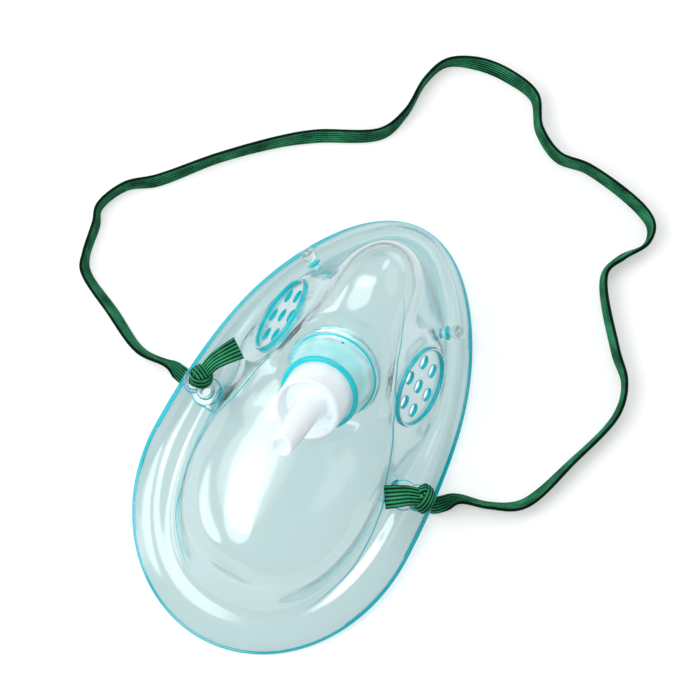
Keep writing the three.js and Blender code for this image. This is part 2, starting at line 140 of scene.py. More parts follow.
def between(four, share, power=CENTRIPETAL):
    """The curve from the second to the third of four points, read at share from 0 to 1."""
    p0, p1, p2, p3 = four
    t0, t1, t2 = (np.maximum(np.linalg.norm(b - a, axis=1, keepdims=True) ** power, LEAST_GAP)
                  for a, b in ((p0, p1), (p1, p2), (p2, p3)))
    leave = ((p1 - p0) / t0 - (p2 - p0) / (t0 + t1) + (p2 - p1) / t1) * t1
    reach = ((p2 - p1) / t1 - (p3 - p1) / (t1 + t2) + (p3 - p2) / t2) * t1
    s = share[:, None]
    return ((2 * s ** 3 - 3 * s ** 2 + 1) * p1 + (s ** 3 - 2 * s ** 2 + s) * leave
            + (3 * s ** 2 - 2 * s ** 3) * p2 + (s ** 3 - s ** 2) * reach)


def through(points, where, power=CENTRIPETAL):
    """A curve through points, read at where, which counts stations from 0."""
    points = np.asarray(points, float)
    padded = np.vstack([2 * points[0] - points[1], points, 2 * points[-1] - points[-2]])
    where = np.clip(where, 0, len(points) - 1)
    first = np.minimum(where.astype(int), len(points) - 2)
    return between([padded[first + k] for k in range(4)], where - first, power)


print("halfway along:", through([s[:3] for s in stations], np.array([len(stations) / 2])).round(1))

# %% [markdown]
# ## The ribbed section
#
# A flat elastic is woven round a row of rubber cords, so each face is a row of soft ridges. A plain band with
# a bump map would look flat along its edges, so here the ridges are in the mesh. Every band also gets a UV
# map in millimetres, along and across, which tells the material where a yarn or a groove is.

# %% Section and woven mesh
CORDS, POINTS_PER_CORD = 6, 6
CORD_WIDTH = STRAP_WIDTH / CORDS
RIDGE, EDGE_ROUND, EDGE_SHARE = 0.36, 0.35, 0.45


def ridges(place):
    """Height from 0 to 1 over a row of cords, where place counts cords."""
    return np.sqrt(np.clip(1 - (2 * (place % 1) - 1) ** 2, 0, 1))


def band_section():
    """Half the band's outline as (across, height), from one edge to the other; the edges are thinner."""
    steps = np.linspace(0, CORDS, CORDS * POINTS_PER_CORD + 1)
    across = (steps / CORDS - 0.5) * STRAP_WIDTH
    edge = np.clip((0.5 * STRAP_WIDTH - np.abs(across)) / EDGE_ROUND, 0, 1) ** 0.5
    height = 0.5 * STRAP_THICKNESS - RIDGE + RIDGE * ridges(steps)
    return across, height * (EDGE_SHARE + (1 - EDGE_SHARE) * edge)


def woven(name, points, faces, across, along):
    """A smooth mesh over a grid of points (rows x columns x 3, mm) with its UV map in mm."""
    columns = points.shape[1]
    mesh = bpy.data.meshes.new(name)
    mesh.from_pydata((points.reshape(-1, 3) * MM).tolist(), [], faces)
    index = np.empty(len(mesh.loops), dtype=np.int32)
    mesh.loops.foreach_get("vertex_index", index)
    uv = mesh.uv_layers.new(name="weave")
    uv.data.foreach_set("uv", np.stack([across[index % columns], along[index // columns]], axis=1).ravel())
    mesh.shade_smooth()
    mesh.update()
    return mesh


print("section:", 2 * len(band_section()[0]), "points round the band")

# %% [markdown]
# ## From a route to a band
#
# Blender can bevel a curve with a profile, but then the band twists as the curve pleases and can't be
# squeezed at one place. So the section is carried along the route, turned by its own width direction at each
# step and joined to the section before it. One function makes the strap, its necks and its tails.

# %% Band builder
def unit(arrows):
    """Arrows along the last axis of an array, each brought to length 1."""
    return arrows / np.linalg.norm(arrows, axis=-1, keepdims=True)


def run_length(places):
    """Length along a line of places, from 0 at its start."""
    return np.concatenate([[0], np.cumsum(np.linalg.norm(np.diff(places, axis=0), axis=1))])


def band_mesh(name, places, widths, shares, curl=0.0):
    """Carries the section along places (N x 3, mm), its width lying along widths (N x 3)."""
    tangents = unit(np.gradient(places, axis=0))
    widths = unit(widths - (widths * tangents).sum(1, keepdims=True) * tangents)
    faces_up = np.cross(tangents, widths)
    across, height = band_section()
    ring_across = np.concatenate([across, across[::-1]])
    ring_height = np.concatenate([height, -height[::-1]])
    bow = curl * (1 - (ring_across / across[-1]) ** 2)
    ring = (places[:, None, :] + widths[:, None, :] * ring_across[None, :, None] * shares[:, None, None]
            + faces_up[:, None, :] * (ring_height + bow)[None, :, None])
    count, size = ring.shape[:2]
    faces = [(i * size + j, i * size + k, (i + 1) * size + k, (i + 1) * size + j)
             for i in range(count - 1) for j, k in zip(range(size), [*range(1, size), 0])]
    for start, order in ((0, -1), ((count - 1) * size, 1)):
        faces += [(start + size - 1 - j, start + size - 2 - j, start + j + 1, start + j)[::order]
                  for j in range(size // 2 - 1)]
    return woven(name, ring, faces, ring_across, run_length(places))


print("band builder ready,", CORDS, "cords of", round(CORD_WIDTH, 2), "mm")

# %% [markdown]
# ## The strap on the table
#
# An elastic band on a table stands on its edge, leans over where it is free and lies flat where it goes into
# a knot. The stations are far apart, so the route is first read at many close points, its length is summed
# up, and even steps are taken along it. That keeps the weave even too. The finished band rides on the mask
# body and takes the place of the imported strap.

# %% Lay the strap
STRAP_STEPS, CLOSE_POINTS = 620, 12


def piece(name, mesh, body="mask"):
    """Links a mesh as an object that rides on a body."""
    made = linked(name, mesh)
    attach(made, body)
    return made


def leaning_frames(route, count):
    """Places, width directions and shares at count even steps of a route, and its length."""
    spots = np.array([s[:3] for s in route], float)
    dense = np.linspace(0, len(route) - 1, count * CLOSE_POINTS)
    length = run_length(through(spots, dense))
    where = np.interp(np.linspace(0, length[-1], count), length, dense)
    places = through(spots, where)
    lean, shares = through([s[3:] for s in route], where, EVEN).T
    tangents = unit(np.gradient(places, axis=0))
    level = unit(np.stack([-tangents[:, 1], tangents[:, 0], np.zeros(count)], axis=1))
    upright = np.cross(tangents, level)
    lean = np.radians(lean)[:, None]
    return places, upright * np.cos(lean) + level * np.sin(lean), shares, length[-1]


strap_places, strap_widths, strap_shares, strap_length = leaning_frames(stations, STRAP_STEPS)
head_strap = piece("elastic_strap", band_mesh("elastic_strap", strap_places, strap_widths, strap_shares))
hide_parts("head_strap")
print("strap", round(strap_length, 1), "mm long,", len(head_strap.data.polygons), "faces")

# %% [markdown]
# ## Turns of a knot
#
# Each end of the band comes up through its eyelet and is knotted on top. A real knot is a tangle, but what is
# seen is a tight ball of a few turns of ribbed band, each crossing the last at its own slant. So each turn is
# spun on a ball of radius 1, where its width bends with the ball as a pulled-tight band does, and the ball is
# then stretched to an egg. The axle says how a turn lies: an upright one gives a belt round the outline, and
# a level one gives a turn across the top.

# %% Turns of band
TURN_STEPS, TURN_POINTS = 96, 8
TURN_DEPTH, TURN_RIDGE = 0.3, 0.11


def grid_mesh(name, points, across, along):
    """A woven mesh through an open grid of points."""
    rows, columns = points.shape[:2]
    faces = [(i * columns + j, i * columns + j + 1, (i + 1) * columns + j + 1, (i + 1) * columns + j)
             for i in range(rows - 1) for j in range(columns - 1)]
    return woven(name, points, faces, across, along)


def turn_of_band(place, axle, growth, cords, size):
    """One turn round axle on a ball of radius 1; place stretches it to the egg, whose mean size is given."""
    share = np.linspace(0, 1, cords * TURN_POINTS + 1)
    bend = (2 * share - 1) * cords * CORD_WIDTH / 2 / size
    radius = growth - TURN_RIDGE / 3 + TURN_RIDGE * ridges(share * cords)
    bend = np.concatenate([bend[:1], bend, bend[-1:], bend[:1]])
    radius = np.concatenate([[growth - TURN_DEPTH], radius, [growth - TURN_DEPTH] * 2])
    across = np.concatenate([[0], share * cords * CORD_WIDTH, [cords * CORD_WIDTH, 0]]) - STRAP_WIDTH / 2
    axle = unit(np.array(axle, float))
    first = unit(np.cross(axle, (1, 0, 0) if abs(axle[0]) < 0.8 else (0, 1, 0)))
    second = np.cross(axle, first)
    angle = np.linspace(0, 2 * np.pi, TURN_STEPS + 1)
    spoke = np.cos(angle)[:, None] * first + np.sin(angle)[:, None] * second
    points = (spoke[:, None, :] * (radius * np.cos(bend))[None, :, None]
              + axle[None, None, :] * (radius * np.sin(bend))[None, :, None])
    return grid_mesh("turn", place(points), across, angle * size * growth)


print("a turn of 3 cords:", TURN_STEPS * (3 * TURN_POINTS + 3), "faces")

# %% [markdown]
# ## Core, neck and tail
#
# Between the turns one could look into the knot, so a plain ball of the same elastic fills it. A neck goes
# down through the eyelet, and a short tail is left, pinched where it leaves the knot. Joining objects with an
# operator needs a selection, while BMesh simply takes in one mesh after another and keeps their UV maps.

# %% Tie a knot
LUG_X, LUG_Y, LUG_Z, LUG_LEAN = 36.8, -4.2, 9.3, math.radians(9)
KNOT_RISE, KNOT_SLANT = 6.0, math.radians(28)
CORE_SIZE, CORE_ROWS, CORE_COLUMNS = 0.86, 15, 25
NECK_DROP, NECK_STEPS, NECK_SHARE = 3.2, 8, 0.42
TAIL_STEPS, TAIL_CURL = 40, 0.35


def core(place):
    """A plain ball that fills the knot."""
    polar, way = np.linspace(0, np.pi, CORE_ROWS), np.linspace(0, 2 * np.pi, CORE_COLUMNS)
    down = polar[:, None]
    points = CORE_SIZE * np.stack([np.sin(down) * np.cos(way), np.sin(down) * np.sin(way),
                                   np.cos(down) + 0 * way], axis=-1)
    return grid_mesh("core", place(points), way, polar)


def joined(name, meshes):
    """Several meshes as one, each kept whole."""
    whole = bmesh.new()
    whole.loops.layers.uv.new("weave")
    for mesh in meshes:
        whole.from_mesh(mesh)
    made = bpy.data.meshes.new(name)
    whole.to_mesh(made)
    whole.free()
    return made


def knot(name, side, shift, egg, turns, tail):
    """A knot on one lug: core, turns, neck and tail in one mesh."""
    axis = np.array([side * math.sin(LUG_LEAN), 0, math.cos(LUG_LEAN)])
    level = np.array([math.cos(LUG_LEAN), 0, -side * math.sin(LUG_LEAN)])
    seat = np.array([side * LUG_X, LUG_Y, LUG_Z])
    middle = seat + KNOT_RISE * axis + shift[0] * level + np.array([0, shift[1], 0])
    across = np.array([math.cos(KNOT_SLANT), math.sin(KNOT_SLANT), 0])
    across = unit(across - across @ axis * axis)
    basis = np.array([across, np.cross(axis, across), axis])

    def place(points):
        return middle + points * np.array(egg) @ basis

    meshes = [core(place)]
    meshes += [turn_of_band(place, axle, growth, cords, egg[1]) for growth, axle, cords in turns]
    foot = seat - NECK_DROP * axis
    rungs = foot + np.linspace(0, 1, NECK_STEPS)[:, None] * (seat + KNOT_RISE * axis - foot)
    meshes.append(band_mesh("neck", rungs, np.tile((0.0, 1.0, 0.0), (NECK_STEPS, 1)),
                            np.full(NECK_STEPS, NECK_SHARE)))
    places, widths, shares, _ = leaning_frames(tail, TAIL_STEPS)
    meshes.append(band_mesh("tail", places, widths, shares, TAIL_CURL))
    made = piece(name, joined(name, meshes))
    return made


print("lugs at", (LUG_X, LUG_Y, LUG_Z), "left and right, knots", KNOT_RISE, "mm above them")

# %% [markdown]
# ## Two knots
#
# The two knots were tied by hand, so they are not mirror images, and copying one would show. Each gets its
# own egg, its own turns from the innermost to the outermost, and a tail that fans out flat. Both belong to
# the same strap.

# %% Both knots
left_knot = knot(
    "left_strap_knot", -1, (2.4, 1.3), (3, 3.6, 3.2),
    [(0.92, (0.45, -0.55, 0.7), 3), (1, (0.74, 0.64, -0.2), 4), (1.08, (0.1, 0.64, 0.77), 3)],
    [(-35.2, -1.4, 16.6, 96, 0.6), (-34, 2.2, 18, 98, 0.75), (-31.8, 5.8, 18.8, 94, 0.9),
     (-29.3, 9.3, 19.1, 90, 1.05)],
)
right_knot = knot(
    "right_strap_knot", 1, (0.8, 0), (2.95, 3.9, 3.2),
    [(0.92, (-0.8, 0, 0.6), 3), (1, (0, -0.55, 0.83), 3), (1.08, (-0.74, 0.56, 0.36), 4)],
    [(37, -4.6, 17, 90, 0.75), (34, -6, 18.6, 90, 0.9), (31.4, -7.7, 19.1, 90, 1),
     (28.4, -9.6, 19.1, 90, 1.05)],
)
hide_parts("left_knot")
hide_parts("right_knot")
print("knots:", len(left_knot.data.polygons), len(right_knot.data.polygons), "faces")

# %% [markdown]
# ## Rings of the shell
#
# The shell is one soft thin skin: a flat rolled edge, a low ridge, a valley, a steep wall and a crown
# that falls from the nose to the chin. Sculpting would do for one picture, but the solids and the picture
# have to agree, so the same egg-shaped rings are used for both. Each ring is two half ellipses: half is its
# widest reach, full squares its chin end and cheek swells its sides.

# %% Rings
WALL = 1.3
RINGS = [
    dict(half=42, widest=-21, nose=69.4, chin=-69.4, full=1, cheek=0.03, at=0.6, z=(0.9, 4.2, 0.9)),
    dict(half=35.4, widest=-19, nose=67, chin=-63, full=0.92, cheek=0.07, at=0.55, z=(4.6, 9.6, 5.6)),
    dict(half=30.6, widest=-16, nose=64.4, chin=-58, full=0.82, cheek=0.13, at=0.55, z=(6.2, 9.4, 6.6)),
    dict(half=28.6, widest=-16, nose=62.4, chin=-55.4, full=0.8, cheek=0.18, at=0.55, z=(10, 11.4, 9.2)),
    dict(half=26.8, widest=-21, nose=52.5, chin=-51, full=0.82, cheek=-0.3, at=0.67, z=(47, 17, 16)),
]
CHEEK_SPREAD, CHIN_BLEND = 0.3, 0.6


def smooth(x, low, high):
    """0 below low, 1 above high and an even S between them."""
    t = np.clip((x - low) / (high - low), 0, 1)
    return t * t * (3 - 2 * t)


def ring_points(ring, turn):
    """One ring at the angles in turn, where 0 is the nose."""
    along, across = np.cos(turn), np.sin(turn)
    reach = np.where(along > 0, ring["nose"] - ring["widest"], ring["widest"] - ring["chin"])
    power = np.where(along > 0, 1, 1 + (ring["full"] - 1) * smooth(-along, 0, CHIN_BLEND))
    cheek = 1 + ring["cheek"] * np.exp(-((along - ring["at"]) / CHEEK_SPREAD) ** 2)
    nose_z, side_z, chin_z = ring["z"]
    end_z = np.where(along > 0, nose_z, chin_z)
    return np.stack([np.sign(across) * ring["half"] * np.abs(across) ** power * cheek,
                     ring["widest"] + reach * along,
                     side_z + (end_z - side_z) * smooth(np.abs(along), 0, 1)], axis=-1)


print("rim length:", RINGS[0]["nose"] - RINGS[0]["chin"], "mm")

# %% [markdown]
# ## Crown
#
# Above the last ring the sheet closes over a narrow crest that is high at the nose and falls to the chin. A
# single point on top would pinch the mesh. The crown's rings are shares between the last ring and the crest
# instead, each with how far it has moved inward and upward.

# %% Crown
CREST = dict(half=1, nose=42, chin=-36, nose_z=55, chin_z=30, slope=(-4, 40))
CROWN = [(0.2, 0.5), (0.48, 0.83), (0.78, 0.97), (1, 1)]


def crown_points(share, turn):
    """A ring between the last ring and the crest."""
    inward, upward = share
    edge = ring_points(RINGS[-1], turn)
    middle, half = (CREST["nose"] + CREST["chin"]) / 2, (CREST["nose"] - CREST["chin"]) / 2
    x = edge[..., 0] + (CREST["half"] * np.sin(turn) - edge[..., 0]) * inward
    y = edge[..., 1] + (middle + half * np.cos(turn) - edge[..., 1]) * inward
    crest_z = CREST["chin_z"] + (CREST["nose_z"] - CREST["chin_z"]) * smooth(y, *CREST["slope"])
    return np.stack([x, y, edge[..., 2] + (crest_z - edge[..., 2]) * upward], axis=-1)


print("crest from", CREST["chin_z"], "to", CREST["nose_z"], "mm high")

# %% [markdown]
# ## Seats and skin
#
# The flat seats are three discs: one tilted towards the chin for the collar and one on each cheek for a
# vent. A point near a disc slides along the disc's axis until it lies in its plane, and the pull fades out
# over a few millimetres, as the radius at the foot of a moulded boss does. A Shrinkwrap modifier could press
# the skin too, but it can't be asked where a given angle and level of the skin end up.

# %% Seats and skin
COLLAR_TILT, COLLAR_FLAT = math.radians(38), 15.4
COLLAR_SEAT = (np.array([0, 13.6, 37.0]), np.array([0, -math.sin(COLLAR_TILT), math.cos(COLLAR_TILT)]),
               COLLAR_FLAT)
VENT_X, VENT_Y, VENT_Z, VENT_FLAT = 22.4, 23, 22.7, 12.8
VENT_RISE, VENT_NOSE = math.radians(24), math.radians(2)
SEAT_FADE, SEAT_DEPTH = 4.5, (5, 11)


def vent_seat(side):
    """Centre, axis and radius of a vent's seat; side is -1 or 1."""
    axis = np.array([side * math.cos(VENT_RISE) * math.cos(VENT_NOSE),
                     math.cos(VENT_RISE) * math.sin(VENT_NOSE), math.sin(VENT_RISE)])
    return np.array([side * VENT_X, VENT_Y, VENT_Z]), unit(axis), VENT_FLAT


SEATS = [COLLAR_SEAT, vent_seat(-1), vent_seat(1)]
TOP_LEVEL = len(RINGS) + len(CROWN) - 1


def span(rows, i, share):
    """The curve between ring i and ring i + 1 in every column; it is level where it meets the crest."""
    p1, p2 = rows[:, i], rows[:, i + 1]
    p0 = rows[:, i - 1] if i else 2 * p1 - p2
    if i + 2 < rows.shape[1]:
        p3 = rows[:, i + 2]
    else:
        p3 = np.column_stack([2 * p2[:, :2] - p1[:, :2], p1[:, 2]])
    return between((p0, p1, p2, p3), share)


def skin(turn, level):
    """Outer surface at matching arrays of turn and level (0 at the edge, TOP_LEVEL at the crest)."""
    rows = [ring_points(ring, turn) for ring in RINGS] + [crown_points(share, turn) for share in CROWN]
    rows = np.stack(rows, axis=1)
    points = np.empty((len(turn), 3))
    for i in range(TOP_LEVEL):
        here = (level >= i) & ((level < i + 1) | (i == TOP_LEVEL - 1))
        if here.any():
            points[here] = span(rows[here], i, level[here] - i)
    for centre, axis, radius in SEATS:
        offset = points - centre
        height = offset @ axis
        beside = np.linalg.norm(offset - height[:, None] * axis, axis=1)
        share = (1 - smooth(beside, radius, radius + SEAT_FADE)) * (1 - smooth(np.abs(height), *SEAT_DEPTH))
        points -= (height * share)[:, None] * axis
    return points


print(len(SEATS), "seats on a skin with levels 0 to", TOP_LEVEL)

# %% [markdown]
# ## A grid on the skin
#
# The inner face of a moulding runs at an even depth below the outer one. A Solidify modifier does that, but
# where a sheet folds tightly its inner face wrinkles, and clear plastic shows every wrinkle. So the normals
# are worked out first, each is drawn towards its neighbours a few times, and only then is the wall stepped
# off along them. A few more rings near the edge keep its highlight crisp.

# %% Outer and inner face
COLUMNS, STEPS = 256, (9, 7, 7, 15, 8, 8, 8, 7)
EDGE_LEVELS = (0.035, 0.073, 0.16)
SMOOTHING, PULL = 14, 4
LIFT = 0.146  # raises the skin until the lowest point of its bead touches the table
up_lift = np.array([0, 0, LIFT])


def skin_normals(turn, level, step=0.01):
    """Outward normals of the skin, from small steps round and up."""
    around = skin(turn + step, level) - skin(turn - step, level)
    upward = skin(turn, np.minimum(level + step, TOP_LEVEL)) - skin(turn, np.maximum(level - step, 0))
    return unit(-np.cross(around, upward))


def neighbours(grid):
    """The mean of the four neighbours of every point in a grid of rings."""
    above, below = np.vstack([grid[1:], grid[-1:]]), np.vstack([grid[:1], grid[:-1]])
    return (above + below + np.roll(grid, 1, axis=1) + np.roll(grid, -1, axis=1)) / 4


levels = np.concatenate([i + np.arange(n) / n for i, n in enumerate(STEPS)] + [[TOP_LEVEL]])
levels = np.unique(np.append(levels, EDGE_LEVELS))
grid_turn, grid_level = (g.ravel() for g in np.meshgrid(np.arange(COLUMNS) * 2 * np.pi / COLUMNS, levels))
outer = skin(grid_turn, grid_level).reshape(len(levels), COLUMNS, 3)
normals = skin_normals(grid_turn, grid_level).reshape(outer.shape)
for _ in range(SMOOTHING):
    normals = unit((normals + PULL * neighbours(normals)) / (1 + PULL))
inner = outer - WALL * normals
for face in (outer, inner):
    face[..., 2] += LIFT
print("skin:", len(levels), "rings of", COLUMNS, "points, highest", round(float(outer[..., 2].max()), 1))

# %% [markdown]
# ## Closing the skin
#
# The outer and inner faces are joined at the edge by a half-round bead, because a knife edge would look
# sharp and a square one machined. Both faces end at the crest in a narrow slit that is closed with rungs
# from side to side. The mesh then bounds a real wall, so glass rendering bends and tints light as the
# moulding does.

# %% Bead and loft
BEAD_STEPS, BEAD_FULL = 5, 0.45
rim_out = unit(outer[0] - outer[1])


def bead_rings():
    """Rings from the inner edge round to the outer one."""
    for k in range(1, BEAD_STEPS + 1):
        angle = math.pi * k / (BEAD_STEPS + 1)
        blend = (1 - math.cos(angle)) / 2
        yield inner[0] + (outer[0] - inner[0]) * blend + rim_out * WALL * BEAD_FULL * math.sin(angle)


def loft(name, rings):
    """A closed mesh through rings of points, each end closed by rungs from side to side."""
    last = (len(rings) - 1) * COLUMNS
    faces = []
    for start in range(0, last, COLUMNS):
        for i in range(COLUMNS):
            a, b = start + i, start + (i + 1) % COLUMNS
            faces.append((a, a + COLUMNS, b + COLUMNS, b))
    for start, order in ((0, 1), (last, -1)):
        for i in range(COLUMNS // 2):
            rung = [start + i, start + i + 1, start + COLUMNS - i - 1, start + (COLUMNS - i) % COLUMNS]
            faces.append(list(dict.fromkeys(rung))[::order])
    mesh = bpy.data.meshes.new(name)
    mesh.from_pydata((np.concatenate(rings) * MM).tolist(), [], faces)
    mesh.update()
    return mesh


shell_mesh = loft("moulding", [*inner[::-1], *bead_rings(), *outer])
hollow = loft("hollow", (inner + outer) / 2)
print("loft:", len(shell_mesh.polygons), "faces")

# %% [markdown]
# ## Turned details
#
# Collar, vent lips, pegs, eyelet pads and the connector are all round, so each is a profile spun round an
# axis. Blender's Screw modifier could spin them, but a few lines of mesh code keep the profile, the axis and
# the place together, and the result is ready for a boolean at once. Moulded corners are never quite sharp:
# a second helper rounds the corners of a profile before it is spun.

# %% Spin and round a profile
ON_AXIS = 1e-6
MOST_OF_SIDE = 0.45


def spun(profile, sides, seat=(0, 0, 0), axis=(0, 0, 1), across=(1, 0, 0), shift=0.0):
    """A closed lathe mesh: profile holds (radius, height) pairs and starts and ends on the axis or closes."""
    axis = Vector(axis).normalized()
    across = (Vector(across) - Vector(across).dot(axis) * axis).normalized()
    closed = profile[0] == profile[-1]
    points, index = [], []
    for radius, height in (profile[:-1] if closed else profile):
        if radius < ON_AXIS:
            index.append([len(points)] * sides)
            points.append((shift, 0, height))
            continue
        index.append(list(range(len(points), len(points) + sides)))
        angle = np.arange(sides) * 2 * np.pi / sides
        points.extend(zip(radius * np.cos(angle) + shift, radius * np.sin(angle), np.full(sides, height)))
    faces = []
    for low, high in list(zip(index, index[1:])) + ([(index[-1], index[0])] if closed else []):
        for i in range(sides):
            k = (i + 1) % sides
            face = list(dict.fromkeys([low[i], low[k], high[k], high[i]]))
            if len(face) > 2:
                faces.append(face)
    mesh = bpy.data.meshes.new("spun")
    placed = np.array(points) @ np.array([across, axis.cross(across), axis]) + np.array(seat)
    mesh.from_pydata((placed * MM).tolist(), [], faces)
    mesh.update()
    return mesh


def rounded(profile, radius, steps=4):
    """Rounds the inner corners of a profile, each with an arc no larger than radius."""
    out = [profile[0]]
    for before, here, after in zip(profile, profile[1:], profile[2:]):
        a, b, c = Vector(before), Vector(here), Vector(after)
        reach = min(radius, MOST_OF_SIDE * (a - b).length, MOST_OF_SIDE * (c - b).length)
        start, end = b + (a - b).normalized() * reach, b + (c - b).normalized() * reach
        for k in range(steps + 1):
            t = k / steps
            out.append(tuple((1 - t) ** 2 * start + 2 * t * (1 - t) * b + t * t * end))
    return out + [profile[-1]]


print("a rounded square corner:", len(rounded([(0, 0), (1, 0), (1, 1)], 0.5)), "points")

# %% [markdown]
# ## Collar
#
# The collar is the cone on the crown that takes the connector. It has a base ring, where the mould parts,
# and a soft rim. Its profile starts deep under the skin, so that nothing shows where it enters, and the part
# inside the hollow is cut off later. The bore is a second turned body, longer than the collar at both ends,
# because a cutter that ends exactly at a face leaves a thin film.

# %% Collar
ROUND_SIDES = 128
UNDER, COLLAR_TOP, COLLAR_CORNER = 9.0, 15.2, 0.5
BORE, BORE_TOP = 9.9, 18
collar_centre, collar_axis = COLLAR_SEAT[0] + up_lift, COLLAR_SEAT[1]
collar_rim = collar_centre + COLLAR_TOP * collar_axis
collar_profile = rounded([
    (0, -UNDER), (COLLAR_FLAT, -UNDER), (COLLAR_FLAT, -0.9), (14.2, 0.1), (13.5, 1.2), (13.4, 2.3),
    (13.0, 2.8), (12.5, 3.0), (11.2, 14.7), (10.8, COLLAR_TOP), (10.3, COLLAR_TOP), (0, COLLAR_TOP),
], COLLAR_CORNER)
collar_body = spun(collar_profile, ROUND_SIDES, collar_centre, collar_axis)
collar_bore = spun([(0, -UNDER - WALL), (BORE, -UNDER - WALL), (BORE, BORE_TOP), (0, BORE_TOP)],
                   ROUND_SIDES, collar_centre, collar_axis)
print("collar:", len(collar_body.polygons), "faces, rim at", np.round(collar_rim, 2))

# %% [markdown]
# ## Vents
#
# Breathed-out air leaves through two discs with seven holes each, one on each cheek. A picture of holes in
# the material would have no walls, and the walls are what glows blue-green in clear plastic. So every hole is
# a rod that is cut out of the shell, and a narrow raised lip is spun round each disc.

# %% Vents
VENT_RADIUS, VENT_LIP, LIP_RISE, LIP_SIDES = 12.2, 1.1, 1.1, 96
HOLE_RADIUS, HOLE_CIRCLE, HOLE_REACH, HOLE_SIDES = 2.1, 7.4, 4, 32


def vent_lip(seat):
    """The raised lip round a vent, half sunk in the wall."""
    centre, axis, _ = seat
    inside, low, high = VENT_RADIUS - VENT_LIP, -0.4 * WALL, LIP_RISE
    outline = [(inside, low), (VENT_RADIUS + 0.2, low), (VENT_RADIUS, high - 0.35),
               (VENT_RADIUS - 0.15, high - 0.1), (VENT_RADIUS - 0.4, high), (inside + 0.4, high),
               (inside + 0.1, high - 0.15), (inside, high - 0.4), (inside, low)]
    return spun(outline, LIP_SIDES, centre + up_lift, axis)


def vent_holes(seat):
    """Seven rods through a vent: one in the middle and six round it."""
    centre, axis, _ = seat
    nose_way = Vector((0, 1, 0))
    nose_way = (nose_way - nose_way.dot(Vector(axis)) * Vector(axis)).normalized()
    side_way = Vector(axis).cross(nose_way)
    turns = [math.pi * (k + 0.5) / 3 for k in range(6)]
    for a, b in [(0, 0)] + [(HOLE_CIRCLE * math.cos(t), HOLE_CIRCLE * math.sin(t)) for t in turns]:
        at = Vector(centre + up_lift) + a * nose_way + b * side_way
        rod = [(0, -HOLE_REACH), (HOLE_RADIUS, -HOLE_REACH), (HOLE_RADIUS, HOLE_REACH), (0, HOLE_REACH)]
        yield spun(rod, HOLE_SIDES, at, axis)


vent_lips = [vent_lip(seat) for seat in SEATS[1:]]
vent_rods = [rod for seat in SEATS[1:] for rod in vent_holes(seat)]
print("vents:", len(vent_lips), "lips and", len(vent_rods), "holes")

# %% [markdown]
# ## Pegs and lugs
#
# Two headed pegs near the nose are made to hold a bendable clip, and on each side a lug of three round pads
# takes the strap through its eyelets. All of it is turned again. A peg stands square to the skin, so its
# place is given as an angle and a level of the skin, and both its foot and its axis are read from there.

# %% Pegs and lugs
PEG_TURN, PEG_LEVEL, PEG_CORNER, PEG_SIDES = math.radians(41.8), 3.18, 0.3, 48
PEG_PROFILE = [
    (0, -0.8), (1.8, -0.8), (1.2, 0.8), (1.2, 1.9), (2.1, 2.0), (2.1, 2.6), (1.2, 2.7), (1.2, 3.6),
    (1.72, 4.0), (2.15, 5.1), (2.15, 5.9), (1.78, 6.9), (1.08, 7.4), (0, 7.4),
]
PADS = [(0, 4.0, 2.0, 1.5), (4.6, 4.5, 1.6, 1.35), (8.4, 3.6, 0, 1.2)]  # place in row, radius, eyelet, rise
PAD_UNDER, PAD_CORNER, PAD_SIDES, LUG_SLANT = 4.6, 0.25, 64, math.radians(18)
EYELET_LOW, EYELET_TOP, EYELET_SIDES = -6, 5, 40


def peg_seat(side):
    """Foot and axis of a peg on the skin."""
    turn, level = np.array([side * PEG_TURN]), np.array([PEG_LEVEL])
    return skin(turn, level)[0] + up_lift, skin_normals(turn, level)[0]


def lug_frame(side):
    """Seat and axis of a lug, and the direction of its row of pads."""
    return ((side * LUG_X, LUG_Y, LUG_Z), (side * math.sin(LUG_LEAN), 0, math.cos(LUG_LEAN)),
            (-side * math.cos(LUG_SLANT), -math.sin(LUG_SLANT), 0))


def pads(side):
    """The pads of a lug, those with an eyelet with a low collar round it."""
    seat, axis, row = lug_frame(side)
    for offset, radius, eyelet, rise in PADS:
        outline = [(0, -PAD_UNDER), (radius, -PAD_UNDER), (radius, rise - 0.4), (radius - 0.4, rise)]
        top = rise + (0.5 if eyelet else 0)
        if eyelet:
            outline += [(eyelet + 1, rise), (eyelet + 0.8, top)]
        yield spun(rounded(outline + [(0, top)], PAD_CORNER, 3), PAD_SIDES, seat, axis, row, offset)


def eyelets(side):
    """Rods through the pads that have an eyelet."""
    seat, axis, row = lug_frame(side)
    for offset, _, eyelet, _ in PADS:
        if eyelet:
            rod = [(0, EYELET_LOW), (eyelet, EYELET_LOW), (eyelet, EYELET_TOP), (0, EYELET_TOP)]
            yield spun(rod, EYELET_SIDES, seat, axis, row, offset)


pegs = [spun(rounded(PEG_PROFILE, PEG_CORNER, 3), PEG_SIDES, *peg_seat(side)) for side in (-1, 1)]
lug_pads = [*pads(-1), *pads(1)]
eyelet_rods = [*eyelets(-1), *eyelets(1)]
print("pegs:", len(pegs), "pads:", len(lug_pads), "eyelets:", len(eyelet_rods))

# %% [markdown]
# ## Adding and cutting
#
# Everything that is moulded with the shell becomes one mesh with it. Leaving the pieces overlapped would be
# quicker, and on an opaque object nobody would see it, but inside clear plastic every hidden face shows.
# The Boolean modifier joins and cuts closed meshes, and taking the evaluated mesh applies it at once. The
# fittings are joined first, whatever would stick into the hollow is cut off them, and the holes come last,
# so that they go through wall and fitting alike.

# %% Join and cut the moulding
SHARP_ANGLE = math.radians(38)


